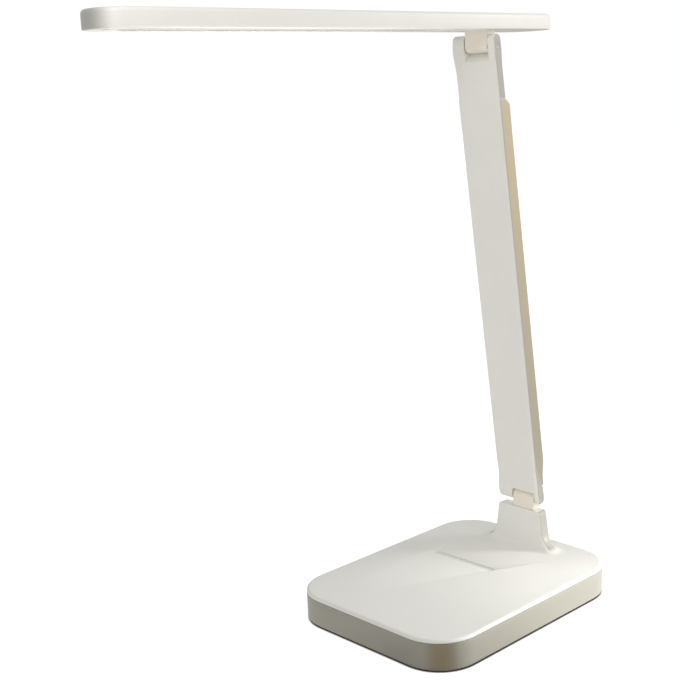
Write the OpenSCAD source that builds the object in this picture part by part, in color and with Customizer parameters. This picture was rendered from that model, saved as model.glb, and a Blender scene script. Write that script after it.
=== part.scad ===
// Folding LED desk lamp: a weighted base with a neck, a flat arm and a slim light bar.
// Millimetres. Z is up, the hinge axes run along X, and the light bar points towards -Y.
// The origin is on the table, under the middle of the base.

/* [Base] */
// Width of the base
base_w = 125; // [118:1:150]
// Depth of the base, front to back
base_l = 166; // [160:1:190]
// Corner radius of the base in plan
base_r = 26; // [20:1:32]
// Thickness of the foot pad
pad_t = 1.0; // [0.6:0.1:2]
// How far the foot pad stays inside the edge of the base
pad_inset = 4; // [2:0.5:8]
// Height of the grey side shell
tray_h = 16; // [16:0.5:22]
// Wall of the side shell
tray_wall = 2.2; // [1.6:0.1:3]
// Floor of the side shell
tray_floor = 2; // [1.6:0.1:3]
// Thickness of the top cover
cover_t = 2; // [2:0.1:3]
// Rounding of the top cover's edge
cover_round = 1.8; // [0.8:0.1:1.8]
// Height of the skirt that locates the cover inside the shell
skirt_h = 4; // [2:0.5:6]
// Thickness of that skirt
skirt_t = 1.5; // [1:0.1:2]

/* [Touch bar] */
// Length of the touch bar
touch_l = 48; // [36:1:60]
// Width of the touch bar
touch_w = 4.4; // [3.6:0.2:6]
// Place of the touch bar across the base
touch_x = -9; // [-12:1:0]
// Place of the touch bar along the base
touch_y = 17.5; // [10:0.5:22]
// How far the bar lies below the cover's surface
touch_sunk = 0.5; // [0.2:0.1:0.8]

/* [Neck and lower hinge] */
// Distance of the lower hinge axis from the back of the base
pivot_back = 17; // [15:0.5:21]
// Height of the lower hinge axis above the table
pivot_z = 52; // [48:0.5:60]
// Depth of the neck, front to back
neck_d = 7.6; // [7.4:0.1:9]
// How far the neck's shoulders stand out beside the arm
neck_out = 0.9; // [0:0.1:2]
// Outward slope of the neck's sides, in degrees
neck_flare = 8; // [4:0.5:10]
// Radius of the hollow blend beside the neck's foot
neck_side = 13; // [9:0.5:14]
// Radius of the hollow blend in front of and behind the foot
neck_blend = 4; // [3:0.5:5]
// Height left between the neck's shoulder and the hinge axis
shoulder_drop = 7.5; // [5.5:0.5:8]
// Width of the arm's left ear at the lower hinge
low_ear_l = 10.2; // [8:0.1:11]
// Width of the arm's right ear at the lower hinge
low_ear_r = 3; // [3:0.1:5]

/* [Arm] */
// Distance between the two hinge axes
arm_len = 286; // [275:1:310]
// Width of the arm
arm_w = 31; // [30:0.5:34]
// Forward lean of the arm at rest, in degrees
lean = 7.5; // [0:0.5:12]
// Thickness of the white hinge blocks at the arm's ends
block_t = 7; // [7:0.1:7.4]
// Thickness of the white front plate between the blocks
plate_t = 1.6; // [1.4:0.1:2]
// How far the rear cover stands out behind the hinge blocks
cover_out = 4; // [3:0.5:5]
// Wall of the rear cover
shell_t = 1.6; // [1.2:0.1:2]
// Height of the lower hinge block on the arm's back
low_block = 9; // [8:0.5:12]
// Height at which the rear cover reaches its full depth at the lower end
low_taper = 24; // [22:0.5:28]
// Height of the upper hinge block below the upper axis
top_block = 30; // [26:1:34]
// Length over which the rear cover slopes away at its top
top_taper = 4; // [3:0.5:6]
// Distance from the lower axis to the bottom of the arm between its ears
low_notch = 5; // [4.5:0.1:7]
// Distance from the upper axis to the bottom of the upper notch
top_notch = 3.8; // [3.8:0.1:8]
// How far the upper ears reach above the upper axis before they round off
ear_over = 3.2; // [1:0.1:3.5]
// Width of the arm's left ear at the upper hinge
top_ear_l = 8.7; // [6:0.1:9]
// Width of the arm's right ear at the upper hinge
top_ear_r = 4.5; // [3:0.1:6]
// Depth of the sloped relief under the upper notch
scoop = 4.5; // [3:0.5:5]

/* [Hinge hardware] */
// Radius of the hinge pins
pin_r = 1.25; // [1.25:0.05:1.4]
// Radial play of a pin in its bores
pin_play = 0.05; // [0.03:0.01:0.08]
// Radius of the pin head
head_r = 2.3; // [2.1:0.1:2.4]
// Height of the pin head
pin_head_t = 1.1; // [0.8:0.1:1.1]
// Height of the lock nut
nut_t = 1.6; // [1.4:0.1:2]
// Thickness of a friction washer
washer_t = 0.5; // [0.4:0.05:0.6]
// Thickness of an end cap
cap_t = 0.7; // [0.6:0.1:1]

/* [Head] */
// Width of the head
head_w = 32; // [31:0.5:36]
// Thickness of the head
head_t = 9; // [9:0.1:11]
// Reach of the head in front of the upper axis
head_front = 260; // [240:1:262]
// Reach of the head behind the upper axis
head_rear = 59; // [50:1:70]
// Height of the head's underside above the upper axis
head_gap = 9.2; // [9:0.1:12]
// Corner radius of the head in plan
head_round = 15; // [12:0.5:15.5]
// Rounding of the head's top edge
head_edge = 2; // [0.8:0.1:2.5]
// Side wall of the head housing
head_wall = 1.6; // [1.4:0.1:2]
// Top wall of the head housing
head_top = 1.8; // [1.4:0.1:2]
// Thickness of the bottom bezel
bezel_t = 1.6; // [1.4:0.1:1.8]
// Width of the bezel's frame beside the light window
bezel_frame = 4.5; // [3.5:0.1:6]
// Distance from the upper axis to the rear end of the light window
window_rear = 34; // [30:1:50]
// Distance from the light window to the front tip
window_front = 16; // [16:0.5:24]
// Thickness of the diffuser
diffuser_t = 1.2; // [1:0.1:1.5]
// Thickness of the light guide
guide_t = 3; // [2.6:0.1:3]
// Thickness of the reflector film
film_t = 0.4; // [0.2:0.1:0.5]
// Spacing of the LED packages
led_pitch = 9.5; // [8:0.5:16]

/* [Hidden] */

$fn = 64;
hair = 0.05;        // gap between faces that meet but do not bind
slip = 0.2;         // gap between pieces that slide together when fitted
over = 1;           // how far a cutting tool runs past the face it cuts
white = [0.93, 0.92, 0.89];
warm_grey = [0.58, 0.57, 0.53];
champagne = [0.80, 0.72, 0.60];
steel = [0.70, 0.71, 0.73];
board_green = [0.10, 0.38, 0.22];

// Heights in the base
tray_z = pad_t;
floor_z = tray_z + tray_floor;
cover_z = tray_z + tray_h;
top_z = cover_z + cover_t;

// Screws: shank radius, head radius and head height
m3 = [1.5, 2.8, 1.8];
m2 = [1.0, 1.8, 1.2];
screw_play = 0.1;

// Cover screws stand on the diagonals of the corners
post_r = 4.5;
post_h = 3;
post_in = 15.5;
post_x = base_w/2 - post_in;
post_y = base_l/2 - post_in;

// Control board at the back of the base
board_w = 60;
board_l = 38;
board_t = 1.6;
board_post_h = 3.2;
board_post_r = 2.6;
board_in = 3.5;
board_wall_gap = 1;
board_z = floor_z + board_post_h;
board_y = base_l/2 - tray_wall - board_wall_gap - board_l/2;
plug_in = 7;
plug = [8, 4, 2.2];
plug_y = board_y - board_l/2 + plug_in;
chips = [[-22, -6, 7, 7, 1.2], [14, -8, 8, 8, 3.6], [-10, 6, 4, 5, 1.4], [14, 5, 6, 5, 4]];

// Ballast plate
ballast_side = 16.5;
ballast_front = 23;
ballast_board_gap = 7.8;
ballast_y0 = ballast_front - base_l/2;
ballast_y1 = board_y - board_l/2 - ballast_board_gap;
ballast_t = 7;
ballast_boss = 3;
ballast_hole_in = 12;
ballast_x = base_w/2 - ballast_side - ballast_hole_in;
ballast_y = [ballast_y0 + ballast_hole_in, ballast_y1 - ballast_hole_in];

// Touch bar and the board under it
touch_flange = 3;
touch_flange_t = 1;
touch_board_t = 1.2;
touch_screw_out = 4;
touch_screw_x = touch_l/2 + touch_flange + touch_screw_out;
touch_pad = 2.5;

// USB-C socket on the control board
usb_w = 8.94;
usb_h = 3.26;
usb_l = 7.8;
usb_shell = 0.3;
usb_tongue = [6.7, 5.8, 0.7];
usb_z = board_z + board_t + hair + usb_h/2;
usb_y = base_l/2 - 0.3;

// Lower hinge
pivot_y = base_l/2 - pivot_back;
block_r = block_t/2;
shoulder_z = pivot_z - shoulder_drop;
low_x0 = -arm_w/2 + low_ear_l;
low_x1 = arm_w/2 - low_ear_r;
wash_gap = washer_t + 2*hair;
knuckle_l = [low_x0 + wash_gap, low_x1 - wash_gap];
blend_in = 0.15;    // how far the blend's curve runs into the faces it joins
foot_plate = [36, 22, 3];
foot_screw_in = 1.1;
foot_bite = 11;
web_t = 4.2;
web_clear = 0.25;

// Neck outline: shoulder corner, and the centre of the hollow blend on each side
neck_x = arm_w/2 + neck_out;
side_r = neck_side - blend_in;
side_z = top_z + neck_side - blend_in;
side_down = (shoulder_z + side_r*sin(neck_flare) - side_z)/cos(neck_flare);
side_x = neck_x + side_down*sin(neck_flare) + side_r*cos(neck_flare);

// Upper hinge, measured from its axis
top_x0 = -arm_w/2 + top_ear_l;
top_x1 = arm_w/2 - top_ear_r;
knuckle_u = [top_x0 + wash_gap, top_x1 - wash_gap];
head_plate = [26, 26, 3];
head_screw_in = 3.2;

// Recesses for the pin heads, nuts and caps
cap_r = head_r + 0.25;
recess_r = cap_r + 0.1;
head_recess = pin_head_t + cap_t + 0.1;
nut_recess = nut_t + cap_t + 0.1;

// Arm, measured from the lower axis along the arm
front_y = -block_r;
plate_y = front_y + plate_t;
back_y = block_r + cover_out;
low_meet = low_block + (block_r - plate_y)*(low_taper - low_block)/(back_y - plate_y)*1.6;
top_meet = arm_len - top_block;
arm_screw_z = [arm_len*0.18, arm_len*0.5, arm_len*0.82];
arm_boss_r = 3;
arm_boss_y = 4;
spine_t = 1.2;
spine_w = 22;
lead_r = 1.1;
lead_hole = 1.4;
lead_mouth = 3.4;
lead_x = 6;
lead_y = plate_y + spine_t + lead_r + hair;

// Head, measured from the upper axis
head_z0 = head_gap;
head_z1 = head_gap + head_t;
bezel_z = head_z0 + bezel_t;
guide_z = bezel_z + diffuser_t;
film_z = guide_z + guide_t;
roof_z = head_z1 - head_top;
head_l = head_front + head_rear;
head_mid = (head_rear - head_front)/2;
cavity_w = head_w - 2*head_wall;
window_w = head_w - 2*(head_wall + bezel_frame);
window_y0 = -head_front + window_front;
window_y1 = -window_rear;
window_l = window_y1 - window_y0;
window_mid = (window_y0 + window_y1)/2;
guide_end = 2;
led_board_t = 0.8;
led_deep = 1.0;
led_l = 2.8;
led_h = 1.4;
led_x = cavity_w/2 - hair - led_board_t;
guide_w = 2*(led_x - led_deep - hair);
led_n = floor((window_l - led_l)/led_pitch) + 1;
bezel_screw_in = 9;
bezel_screw_x = 9;
bezel_screw_gap = 6;
bezel_screw = [[0, bezel_screw_in - head_front], [0, head_rear - bezel_screw_in],
               [-bezel_screw_x, bezel_screw_gap - window_rear], [bezel_screw_x, bezel_screw_gap - window_rear]];
bezel_boss = 2.4;
bezel_head_t = 1.0;

// Routes of the three leads: round points, one list each
board_lead_z = board_z + board_t + hair + lead_r;
base_route = [[0, plug_y + plug[1]/2 + hair, board_lead_z], [0, pivot_y - 10, board_lead_z], [0, pivot_y - 6, board_lead_z + 0.5],
              [0, pivot_y - 3, board_lead_z + 1.5], [0, pivot_y - 1, board_lead_z + 3], [0, pivot_y, board_lead_z + 5],
              [0, pivot_y, shoulder_z - 16], [0, pivot_y, shoulder_z - 2]];
touch_lead_z = cover_z - touch_flange_t - 2*hair - touch_board_t - lead_r;
touch_route = [for (t = [0:0.125:1]) [touch_x, touch_y + t*(plug_y - plug[1]/2 - hair - touch_y),
              touch_lead_z + (board_lead_z - touch_lead_z)*t*t*t*(4 - 3*t)]];
arm_route = [for (i = [0:24]) [lead_x, lead_y, low_notch + 1 + i*(arm_len - top_notch - scoop - low_notch - 2)/24]];
head_lead_z = roof_z - 0.15 - lead_r;
head_route = [[0, 0, block_r + 0.5], [0, 0, bezel_z - 2], [0, 0, head_lead_z - 2.9], [0, -0.3, head_lead_z - 1.7],
              [0, -1.1, head_lead_z - 0.7], [0, -2.4, head_lead_z - 0.15], [0, -4, head_lead_z], [0, -9, head_lead_z],
              [0, -20, head_lead_z], [0, window_y1 + guide_end + 5, head_lead_z - 0.5],
              [0, window_y1 + guide_end + 2, head_lead_z - 0.7], [0, window_y1 + guide_end + 0.3, head_lead_z - 0.7]];

// ---------- shared shapes ----------

// Straight-sided slab on a rounded rectangle
module slab(w, l, r, h) {
  translate([-w/2 + r, -l/2, 0]) cube([w - 2*r, l, h]);
  translate([-w/2, -l/2 + r, 0]) cube([w, l - 2*r, h]);
  for (x = [-1, 1], y = [-1, 1]) translate([x*(w/2 - r), y*(l/2 - r), 0]) cylinder(r = r, h = h);
}

// Slab with fully round ends, long along X
module x_pill(l, w, h) {
  translate([-l/2 + w/2, -w/2, 0]) cube([l - w, w, h]);
  for (x = [-1, 1]) translate([x*(l - w)/2, 0, 0]) cylinder(r = w/2, h = h);
}

// The same slab, long along Y
module y_pill(l, w, h) {
  rotate([0, 0, 90]) x_pill(l, w, h);
}

// Half profile of a slab whose top edge is rounded by f
module edge_profile(r, h, f) {
  square([r - f, h]);
  square([r, h - f]);
  translate([r - f, h - f]) intersection() {
    circle(f);
    square(f);
  }
}

// Full profile of the same slab, across a width w
module bar_profile(w, h, f) {
  for (m = [0, 1]) mirror([m, 0]) edge_profile(w/2, h, f);
}

// Slab on a rounded rectangle with its top edge rounded by f
module soft_slab(w, l, r, h, f) {
  for (x = [-1, 1], y = [-1, 1])
    translate([x*(w/2 - r), y*(l/2 - r), 0]) rotate_extrude() edge_profile(r, h, f);
  rotate([90, 0, 0]) linear_extrude(l - 2*r, center = true) bar_profile(w, h, f);
  rotate([90, 0, 90]) linear_extrude(w - 2*r, center = true) bar_profile(l, h, f);
}

// Cylinder along X from x0 to x1
module x_rod(r, x0, x1) {
  translate([x0, 0, 0]) rotate([0, 90, 0]) cylinder(r = r, h = x1 - x0);
}

// Cylinder along Y from y0 to y1
module y_rod(r, y0, y1) {
  translate([0, y0, 0]) rotate([-90, 0, 0]) cylinder(r = r, h = y1 - y0);
}

// Screw pointing up, its head's underside at the origin
module screw(size, length) {
  translate([0, 0, -size[2]]) cylinder(r = size[1], h = size[2]);
  cylinder(r = size[0], h = length);
}

// Nut along X with its left face at the origin
module x_nut(thick) {
  rotate([0, 90, 0]) difference() {
    cylinder(r = head_r, h = thick, $fn = 6);
    translate([0, 0, -over]) cylinder(r = pin_r + hair, h = thick + 2*over);
  }
}

// Ring along X with its left face at the origin
module x_ring(outer, inner, thick) {
  difference() {
    x_rod(outer, 0, thick);
    x_rod(inner, -over, thick + over);
  }
}

function unit(v) = v/norm(v);
function heading(path, i) =
  unit(path[min(i + 1, len(path) - 1)] - path[max(i - 1, 0)]);
function ring_at(p, t, r, n) =
  let (side = [1, 0, 0], up = cross(side, t))
  [for (k = [0:n - 1]) p + r*cos(360*k/n)*side + r*sin(360*k/n)*up];

// Round lead swept along points that stay in a plane across X
module lead(path, r, n = 8) {
  rings = len(path);
  pts = [for (i = [0:rings - 1]) each ring_at(path[i], heading(path, i), r, n)];
  sides = [for (i = [0:rings - 2], k = [0:n - 1])
    [i*n + k, i*n + (k + 1)%n, (i + 1)*n + (k + 1)%n, (i + 1)*n + k]];
  first = [for (k = [0:n - 1]) n - 1 - k];
  last = [for (k = [0:n - 1]) (rings - 1)*n + k];
  polyhedron(pts, concat(sides, [first], [last]));
}

// ---------- placing ----------

module at_lower_hinge() {
  translate([0, pivot_y, pivot_z]) children();
}

module in_arm() {
  at_lower_hinge() rotate([lean, 0, 0]) children();
}

module in_head() {
  translate([0, pivot_y - arm_len*sin(lean), pivot_z + arm_len*cos(lean)]) children();
}

module at_posts() {
  for (x = [-1, 1], y = [-1, 1]) translate([x*post_x, y*post_y, 0]) children();
}

module at_ballast_screws() {
  for (x = [-1, 1], y = ballast_y) translate([x*ballast_x, y, 0]) children();
}

module at_board_screws() {
  for (x = [-1, 1], y = [-1, 1])
    translate([x*(board_w/2 - board_in), board_y + y*(board_l/2 - board_in), 0]) children();
}

module at_touch_screws() {
  for (x = [-1, 1]) translate([touch_x + x*touch_screw_x, touch_y, 0]) children();
}

module at_foot_screws() {
  for (x = [-1, 1]) translate([x*(arm_w/2 - foot_screw_in), pivot_y, 0]) children();
}

module at_head_screws() {
  for (x = [-1, 1], y = [-1, 1])
    translate([x*(head_plate[0]/2 - head_screw_in), y*(head_plate[1]/2 - head_screw_in), 0]) children();
}

module at_bezel_screws() {
  for (p = bezel_screw) translate([p[0], p[1], 0]) children();
}

module at_arm_screws() {
  for (z = arm_screw_z) translate([0, 0, z]) children();
}

// ---------- base ----------

module foot_pad() {
  color([0.25, 0.25, 0.25])
    slab(base_w - 2*pad_inset, base_l - 2*pad_inset, base_r - pad_inset, pad_t);
}

module base_tray() {
  color(warm_grey) difference() {
    union() {
      difference() {
        translate([0, 0, tray_z]) slab(base_w, base_l, base_r, tray_h);
        translate([0, 0, floor_z])
          slab(base_w - 2*tray_wall, base_l - 2*tray_wall, base_r - tray_wall, tray_h);
      }
      at_posts() translate([0, 0, tray_z]) cylinder(r = post_r, h = tray_floor + post_h);
      at_ballast_screws() translate([0, 0, tray_z]) cylinder(r = ballast_boss, h = tray_floor + ballast_t - hair);
      at_board_screws() translate([0, 0, tray_z]) cylinder(r = board_post_r, h = tray_floor + board_post_h);
    }
    at_posts() {
      translate([0, 0, tray_z - over]) cylinder(r = m3[1] + screw_play, h = over + post_h);
      translate([0, 0, tray_z]) cylinder(r = m3[0] + screw_play, h = tray_h);
    }
    at_ballast_screws() translate([0, 0, floor_z]) cylinder(r = m2[0] + screw_play, h = tray_h);
    at_board_screws() translate([0, 0, floor_z]) cylinder(r = m2[0] + screw_play, h = tray_h);
    usb_hole();
  }
}

module usb_outline(grow) {
  square([usb_w - usb_h, usb_h + 2*grow], center = true);
  for (x = [-1, 1]) translate([x*(usb_w - usb_h)/2, 0]) circle(usb_h/2 + grow);
}

module usb_hole() {
  translate([0, base_l/2 + over, usb_z]) rotate([90, 0, 0]) linear_extrude(tray_wall + 2*over) usb_outline(slip);
}

module ballast_plate() {
  color(steel) difference() {
    translate([-base_w/2 + ballast_side, ballast_y0, floor_z])
      cube([base_w - 2*ballast_side, ballast_y1 - ballast_y0, ballast_t]);
    at_ballast_screws() translate([0, 0, floor_z - over]) cylinder(r = ballast_boss + slip, h = ballast_t + 2*over);
  }
}

module ballast_screws() {
  color(steel) at_ballast_screws() translate([0, 0, floor_z + ballast_t]) mirror([0, 0, 1]) {
    translate([0, 0, -m3[2]]) cylinder(r = ballast_boss + 1, h = m3[2]);
    cylinder(r = m2[0], h = ballast_t - over);
  }
}

module base_screws() {
  color(steel) at_posts() translate([0, 0, tray_z + post_h]) screw(m3, cover_z - tray_z - post_h - 2*over);
}

module base_top_cover() {
  color(white) difference() {
    union() {
      translate([0, 0, cover_z]) soft_slab(base_w, base_l, base_r, cover_t, cover_round);
      cover_skirt();
      at_posts() translate([0, 0, tray_z + tray_floor + post_h])
        cylinder(r = post_r - 0.5, h = tray_h - tray_floor - post_h + hair);
      at_touch_screws() translate([0, 0, cover_z - touch_flange_t]) cylinder(r = touch_pad, h = touch_flange_t + hair);
      neck();
    }
    at_posts() translate([0, 0, tray_z]) cylinder(r = m3[0] + screw_play, h = tray_h - over);
    at_touch_screws() translate([0, 0, cover_z - over - touch_flange_t])
      cylinder(r = m2[0] + screw_play, h = over + touch_flange_t + cover_t/2);
    at_foot_screws() translate([0, 0, cover_z - over]) cylinder(r = m2[0] + screw_play, h = over + foot_bite + 0.1);
    translate([touch_x, touch_y, cover_z - over]) x_pill(touch_l, touch_w, cover_t + 2*over);
    web_slot();
  }
}

module cover_skirt() {
  w = base_w - 2*tray_wall - 2*slip;
  l = base_l - 2*tray_wall - 2*slip;
  r = base_r - tray_wall - slip;
  translate([0, 0, cover_z - skirt_h]) difference() {
    slab(w, l, r, skirt_h + hair);
    translate([0, 0, -over]) slab(w - 2*skirt_t, l - 2*skirt_t, r - skirt_t, skirt_h + 2*over);
  }
}

// Front outline of the neck: sloping sides that run into a hollow blend
module neck_outline() {
  difference() {
    translate([-side_x, cover_z + hair]) square([2*side_x, shoulder_z - cover_z - hair]);
    for (m = [0, 1]) mirror([m, 0]) {
      translate([side_x, side_z]) circle(neck_side);
      polygon([
        [neck_x - over*tan(neck_flare), shoulder_z + over],
        [neck_x + side_down*sin(neck_flare), shoulder_z - side_down*cos(neck_flare)],
        [side_x, side_z], [side_x + over, side_z], [side_x + over, shoulder_z + over]
      ]);
    }
  }
}

// Neck with a hollow blend all round its foot
module neck() {
  d = neck_d + 2*neck_blend - 2*blend_in;
  translate([0, pivot_y, 0]) {
    rotate([90, 0, 0]) linear_extrude(neck_d, center = true) neck_outline();
    difference() {
      intersection() {
        rotate([90, 0, 0]) linear_extrude(d, center = true) neck_outline();
        translate([-side_x - over, -d/2 - over, top_z - cover_t/2])
          cube([2*side_x + 2*over, d + 2*over, cover_t/2 + neck_blend - over]);
      }
      for (s = [-1, 1]) translate([0, s*d/2, top_z + neck_blend - blend_in])
        x_rod(neck_blend, -side_x - 2*over, side_x + 2*over);
    }
  }
}

module web_slot() {
  translate([knuckle_l[0] - web_clear, pivot_y - web_t/2 - slip, cover_z - over])
    cube([knuckle_l[1] - knuckle_l[0] + 2*web_clear, web_t + 2*slip, shoulder_z]);
}

module touch_bar() {
  color([0.80, 0.80, 0.78]) {
    translate([touch_x, touch_y, cover_z - 2*hair])
      x_pill(touch_l - 2*slip, touch_w - 2*slip, cover_t - touch_sunk + 2*hair);
    translate([touch_x, touch_y, cover_z - touch_flange_t])
      x_pill(touch_l + 2*touch_flange, touch_w + 2*touch_flange, touch_flange_t - hair);
  }
}

module touch_board() {
  l = 2*(touch_screw_x + touch_pad);
  z = cover_z - touch_flange_t - hair - touch_board_t;
  color(board_green) difference() {
    translate([touch_x, touch_y, z]) slab(l, touch_w + 2*touch_flange, touch_w/2, touch_board_t);
    at_touch_screws() translate([0, 0, z - over]) cylinder(r = m2[0] + screw_play, h = touch_board_t + 2*over);
  }
}

module touch_screws() {
  color(steel) at_touch_screws() translate([0, 0, cover_z - touch_flange_t - 2*hair - touch_board_t])
    screw(m2, touch_board_t + touch_flange_t + cover_t/2 - 2*hair);
}

module control_board() {
  color(board_green) difference() {
    translate([-board_w/2, board_y - board_l/2, board_z]) cube([board_w, board_l, board_t]);
    at_board_screws() translate([0, 0, board_z - over]) cylinder(r = m2[0] + screw_play, h = board_t + 2*over);
  }
}

module control_parts() {
  color([0.12, 0.12, 0.13]) translate([0, 0, board_z + board_t + hair]) {
    for (c = chips) translate([c[0], board_y + c[1], 0]) cube([c[2], c[3], c[4]]);
    for (x = [touch_x, 0]) translate([x - plug[0]/2, plug_y - plug[1]/2, 0]) cube(plug);
  }
}

module board_screws() {
  color(steel) at_board_screws() translate([0, 0, board_z + board_t + hair]) mirror([0, 0, 1])
    screw(m2, board_t + board_post_h - over);
}

module usb_socket() {
  color(steel) translate([0, usb_y, usb_z]) rotate([90, 0, 0]) {
    difference() {
      linear_extrude(usb_l) usb_outline(0);
      translate([0, 0, -over]) linear_extrude(usb_l - usb_shell + over) usb_outline(-usb_shell);
    }
    translate([-usb_tongue[0]/2, -usb_tongue[2]/2, usb_l - usb_shell - usb_tongue[1]])
      cube([usb_tongue[0], usb_tongue[2], usb_tongue[1] + usb_shell/2]);
  }
}

module lower_hinge_block() {
  x0 = knuckle_l[0];
  w = knuckle_l[1] - x0;
  plate_z = cover_z - hair - foot_plate[2];
  color([0.86, 0.85, 0.81]) difference() {
    union() {
      at_lower_hinge() x_rod(block_r, x0, x0 + w);
      translate([x0, pivot_y - block_r, shoulder_z + hair]) cube([w, block_t, shoulder_drop - hair]);
      translate([x0, pivot_y - web_t/2, plate_z]) cube([w, web_t, pivot_z - plate_z]);
      translate([-foot_plate[0]/2, pivot_y - foot_plate[1]/2, plate_z]) cube(foot_plate);
    }
    at_lower_hinge() x_rod(pin_r + pin_play, x0 - over, x0 + w + over);
    at_foot_screws() translate([0, 0, plate_z - over]) cylinder(r = m2[0] + screw_play, h = foot_plate[2] + 2*over);
    translate([0, pivot_y, plate_z - over]) cylinder(r = lead_hole, h = shoulder_z - plate_z + over);
  }
}

module lower_block_screws() {
  color(steel) at_foot_screws() translate([0, 0, cover_z - 2*hair - foot_plate[2]]) screw(m2, foot_plate[2] + foot_bite);
}

module base_lead() {
  color([0.15, 0.15, 0.15]) lead(base_route, lead_r);
}

module touch_lead() {
  color([0.15, 0.15, 0.15]) lead(touch_route, lead_r);
}

// ---------- hinge hardware, placed on either axis ----------

// Pin along X with its head in the right ear and its nut in the left one
module hinge_pin() {
  color(steel) {
    x_rod(pin_r, -arm_w/2 + cap_t + 0.1 + hair, arm_w/2 - head_recess + pin_head_t/2);
    x_rod(head_r, arm_w/2 - head_recess + hair, arm_w/2 - head_recess + hair + pin_head_t);
  }
}

module hinge_nut() {
  color(steel) translate([-arm_w/2 + nut_recess - nut_t - hair, 0, 0]) x_nut(nut_t);
}

module hinge_caps() {
  color(white) for (s = [0, 1]) mirror([s, 0, 0]) x_rod(cap_r, arm_w/2 - cap_t, arm_w/2);
}

module friction_washers(x0, x1) {
  color([0.55, 0.50, 0.42]) {
    translate([x0 + hair, 0, 0]) x_ring(block_r - 0.2, pin_r + pin_play, washer_t);
    translate([x1 - hair - washer_t, 0, 0]) x_ring(block_r - 0.2, pin_r + pin_play, washer_t);
  }
}

module lower_hinge_pin() { in_arm() hinge_pin(); }
module lower_hinge_nut() { in_arm() hinge_nut(); }
module lower_hinge_caps() { in_arm() hinge_caps(); }
module lower_friction_washers() { in_arm() friction_washers(low_x0, low_x1); }

module upper_axis() { in_arm() translate([0, 0, arm_len]) children(); }
module upper_hinge_pin() { upper_axis() hinge_pin(); }
module upper_hinge_nut() { upper_axis() hinge_nut(); }
module upper_hinge_caps() { upper_axis() hinge_caps(); }
module upper_friction_washers() { upper_axis() friction_washers(top_x0, top_x1); }

// ---------- arm ----------

// Side outline of the white housing: plate along the front, a hinge block at each end
module housing_side() {
  polygon([
    [front_y, 0], [block_r, 0], [block_r, low_block], [plate_y, low_meet], [plate_y, top_meet],
    [block_r, top_meet], [block_r, arm_len + ear_over], [front_y, arm_len + ear_over]
  ]);
  for (z = [0, arm_len + ear_over]) translate([0, z]) circle(block_r);
}

// Side outline of the rear cover, between the two hinge blocks
module cover_side() {
  polygon([
    [plate_y + hair, low_meet + hair], [block_r + hair, low_block + hair], [back_y, low_taper],
    [back_y, top_meet - hair - top_taper], [block_r, top_meet - hair], [plate_y + hair, top_meet - hair]
  ]);
}

// Extrudes a side outline (depth, height) across a width
module across(w) {
  rotate([90, 0, 90]) linear_extrude(w, center = true) children();
}

module hinge_bores() {
  x_rod(pin_r + pin_play, -arm_w, arm_w);
  x_rod(recess_r, -arm_w/2 - over, -arm_w/2 + nut_recess);
  x_rod(recess_r, arm_w/2 - head_recess, arm_w/2 + over);
}

module arm_front_housing() {
  color(white) in_arm() difference() {
    union() {
      across(arm_w) housing_side();
      at_arm_screws() y_rod(arm_boss_r, plate_y - hair, arm_boss_y);
    }
    translate([low_x0, -block_t, -block_t]) cube([low_x1 - low_x0, 2*block_t, block_t + low_notch]);
    translate([top_x0, 0, arm_len - top_notch]) {
      translate([0, -block_t, 0]) cube([top_x1 - top_x0, 2*block_t, 2*block_t]);
      rotate([90, 0, 90]) linear_extrude(top_x1 - top_x0) polygon([
        [front_y - over, -scoop - over], [front_y + scoop, 0], [front_y + scoop, over], [front_y - over, over]
      ]);
    }
    hinge_bores();
    translate([0, 0, arm_len]) hinge_bores();
    at_arm_screws() y_rod(m2[0] + screw_play, plate_y + hair, arm_boss_y + over);
    lead_bore();
  }
}

module lead_bore() {
  translate([lead_x, lead_y, 0]) cylinder(r = lead_hole, h = arm_len);
}

module arm_rear_cover() {
  inner_z0 = low_taper + shell_t;
  inner_z1 = top_meet - top_taper - shell_t;
  color(champagne) in_arm() difference() {
    union() {
      difference() {
        across(arm_w) cover_side();
        translate([-arm_w/2 + shell_t, plate_y - over, inner_z0])
          cube([arm_w - 2*shell_t, back_y - shell_t - plate_y + over, inner_z1 - inner_z0]);
      }
      at_arm_screws() y_rod(arm_boss_r, arm_boss_y + hair, back_y - hair);
    }
    at_arm_screws() {
      y_rod(m2[0] + screw_play, arm_boss_y - over, back_y);
      y_rod(m2[1] + screw_play, back_y - m2[2] - hair, back_y + over);
    }
    lead_bore();
  }
}

module arm_spine() {
  z0 = low_taper + shell_t + slip;
  z1 = top_meet - top_taper - shell_t - slip;
  color(steel) in_arm() difference() {
    translate([-spine_w/2, plate_y + hair, z0]) cube([spine_w, spine_t - hair, z1 - z0]);
    at_arm_screws() y_rod(arm_boss_r + slip, plate_y - over, plate_y + spine_t + over);
  }
}

module arm_screws() {
  color(steel) in_arm() at_arm_screws() {
    y_rod(m2[0], plate_y + 2*hair, back_y - m2[2]);
    y_rod(m2[1], back_y - m2[2], back_y - hair);
  }
}

module arm_lead() {
  color([0.15, 0.15, 0.15]) in_arm() lead(arm_route, lead_r);
}

// ---------- head ----------

module in_cavity(w, z, h, inset) {
  translate([0, head_mid, z])
    slab(cavity_w - 2*inset, head_l - 2*head_wall - 2*inset, head_round - head_wall - inset, h);
}

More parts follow.
